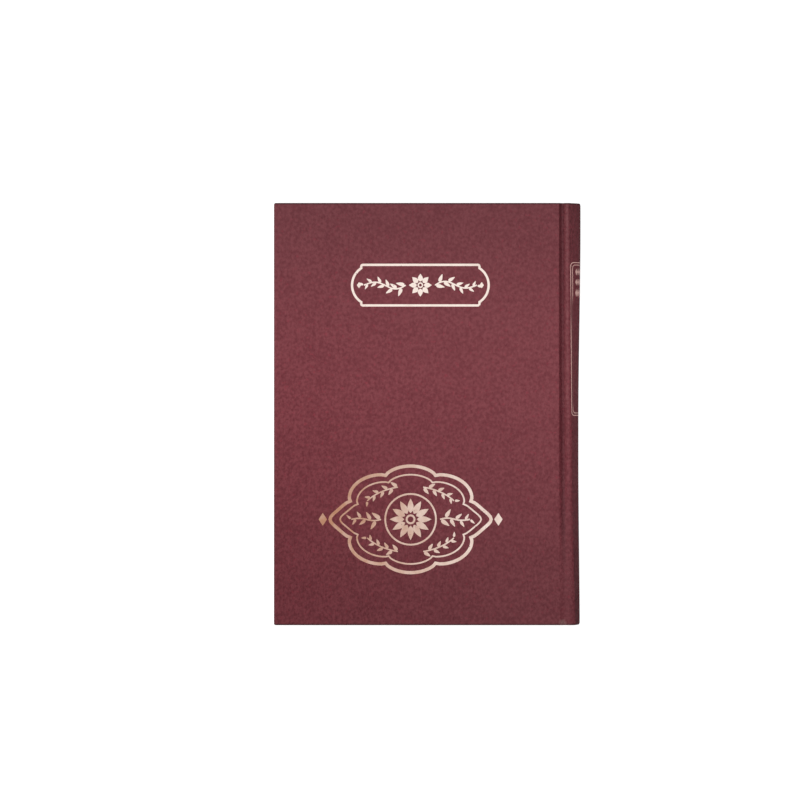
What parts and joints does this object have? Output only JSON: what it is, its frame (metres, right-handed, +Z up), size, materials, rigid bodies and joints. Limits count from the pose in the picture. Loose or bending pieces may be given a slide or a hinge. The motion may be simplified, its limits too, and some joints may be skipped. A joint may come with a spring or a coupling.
{
  "type": "case-bound ledger book",
  "caption": "Hardcover ledger book with cloth-covered boards, grooved joints, rounded spine, sewn sections and turning leaves; both covers swing open on their joints.",
  "frame": {"origin": "middle of the book's footprint, on the surface that it lies on (outer face of the back cover)", "axes": "+Z up out of the front cover, +Y towards the head, +X towards the spine"},
  "size_m": [0.219, 0.303, 0.023],
  "materials": {
    "cover_cloth": "burgundy leather-grain bookcloth, satin",
    "foil": "stamped rose-gold foil",
    "board": "grey board, matt",
    "endpaper": "heavy uncoated paper",
    "leaf_paper": "uncoated ledger paper",
    "linen": "unbleached cotton",
    "band": "woven two-colour band"
  },
  "bodies": {
    "text_block": {"section_1": "leaf_paper", "section_2": "leaf_paper", "section_3": "leaf_paper", "section_4": "leaf_paper", "section_5": "leaf_paper", "section_6": "leaf_paper", "section_7": "leaf_paper", "section_8": "leaf_paper", "sewing_thread_1": "linen", "sewing_thread_2": "linen", "sewing_thread_3": "linen", "sewing_thread_4": "linen", "mull": "linen", "spine_lining": "leaf_paper", "head_band": "band", "tail_band": "band", "spine_cloth": "cover_cloth", "spine_inlay": "board", "front_joint_cloth": "cover_cloth", "back_joint_cloth": "cover_cloth", "front_endpaper_hinge": "endpaper", "back_endpaper_hinge": "endpaper"},
    "front_cover": {"front_board": "board", "front_cover_cloth": "cover_cloth", "front_pastedown": "endpaper"},
    "back_cover": {"back_board": "board", "back_cover_cloth": "cover_cloth", "back_pastedown": "endpaper"},
    "front_flyleaf": {"front_flyleaf": "endpaper"},
    "back_flyleaf": {"back_flyleaf": "endpaper"},
    "leaf_1": {"leaf_1": "leaf_paper"},
    "leaf_2": {"leaf_2": "leaf_paper"},
    "leaf_3": {"leaf_3": "leaf_paper"},
    "leaf_4": {"leaf_4": "leaf_paper"},
    "leaf_5": {"leaf_5": "leaf_paper"},
    "leaf_6": {"leaf_6": "leaf_paper"}
  },
  "joints": [
    {"name": "front_cover_hinge", "type": "hinge", "parent": "text_block", "child": "front_cover", "pos_m": [0.09794, 0, 0.02255], "axis": [0, 1, 0], "range_deg": [0, 180], "deforming": ["front_joint_cloth", "front_endpaper_hinge"]},
    {"name": "back_cover_hinge", "type": "hinge", "parent": "text_block", "child": "back_cover", "pos_m": [0.09794, 0, 0.00045], "axis": [0, -1, 0], "range_deg": [0, 180], "deforming": ["back_joint_cloth", "back_endpaper_hinge"]},
    {"name": "front_flyleaf_hinge", "type": "hinge", "parent": "text_block", "child": "front_flyleaf", "pos_m": [0.09445, 0, 0.0184], "axis": [0, 1, 0], "range_deg": [0, 120]},
    {"name": "back_flyleaf_hinge", "type": "hinge", "parent": "text_block", "child": "back_flyleaf", "pos_m": [0.09445, 0, 0.0046], "axis": [0, -1, 0], "range_deg": [0, 120]},
    {"name": "leaf_1_hinge", "type": "hinge", "parent": "text_block", "child": "leaf_1", "pos_m": [0.09405, 0, 0.018], "axis": [0, 1, 0], "range_deg": [0, 102]},
    {"name": "leaf_2_hinge", "type": "hinge", "parent": "text_block", "child": "leaf_2", "pos_m": [0.09365, 0, 0.0176], "axis": [0, 1, 0], "range_deg": [0, 86]},
    {"name": "leaf_3_hinge", "type": "hinge", "parent": "text_block", "child": "leaf_3", "pos_m": [0.09325, 0, 0.0172], "axis": [0, 1, 0], "range_deg": [0, 70]},
    {"name": "leaf_4_hinge", "type": "hinge", "parent": "text_block", "child": "leaf_4", "pos_m": [0.09285, 0, 0.0168], "axis": [0, 1, 0], "range_deg": [0, 53]},
    {"name": "leaf_5_hinge", "type": "hinge", "parent": "text_block", "child": "leaf_5", "pos_m": [0.09245, 0, 0.0164], "axis": [0, 1, 0], "range_deg": [0, 36]},
    {"name": "leaf_6_hinge", "type": "hinge", "parent": "text_block", "child": "leaf_6", "pos_m": [0.09205, 0, 0.016], "axis": [0, 1, 0], "range_deg": [0, 19]}
  ],
  "couplings": [
    {"joint": "front_flyleaf_hinge", "follows": "front_cover_hinge", "ratio": 0.66},
    {"joint": "leaf_1_hinge", "follows": "front_cover_hinge", "ratio": 0.56},
    {"joint": "leaf_2_hinge", "follows": "front_cover_hinge", "ratio": 0.47},
    {"joint": "leaf_3_hinge", "follows": "front_cover_hinge", "ratio": 0.38},
    {"joint": "leaf_4_hinge", "follows": "front_cover_hinge", "ratio": 0.29},
    {"joint": "leaf_5_hinge", "follows": "front_cover_hinge", "ratio": 0.195},
    {"joint": "leaf_6_hinge", "follows": "front_cover_hinge", "ratio": 0.1},
    {"joint": "back_flyleaf_hinge", "follows": "back_cover_hinge", "ratio": 0.66}
  ]
}
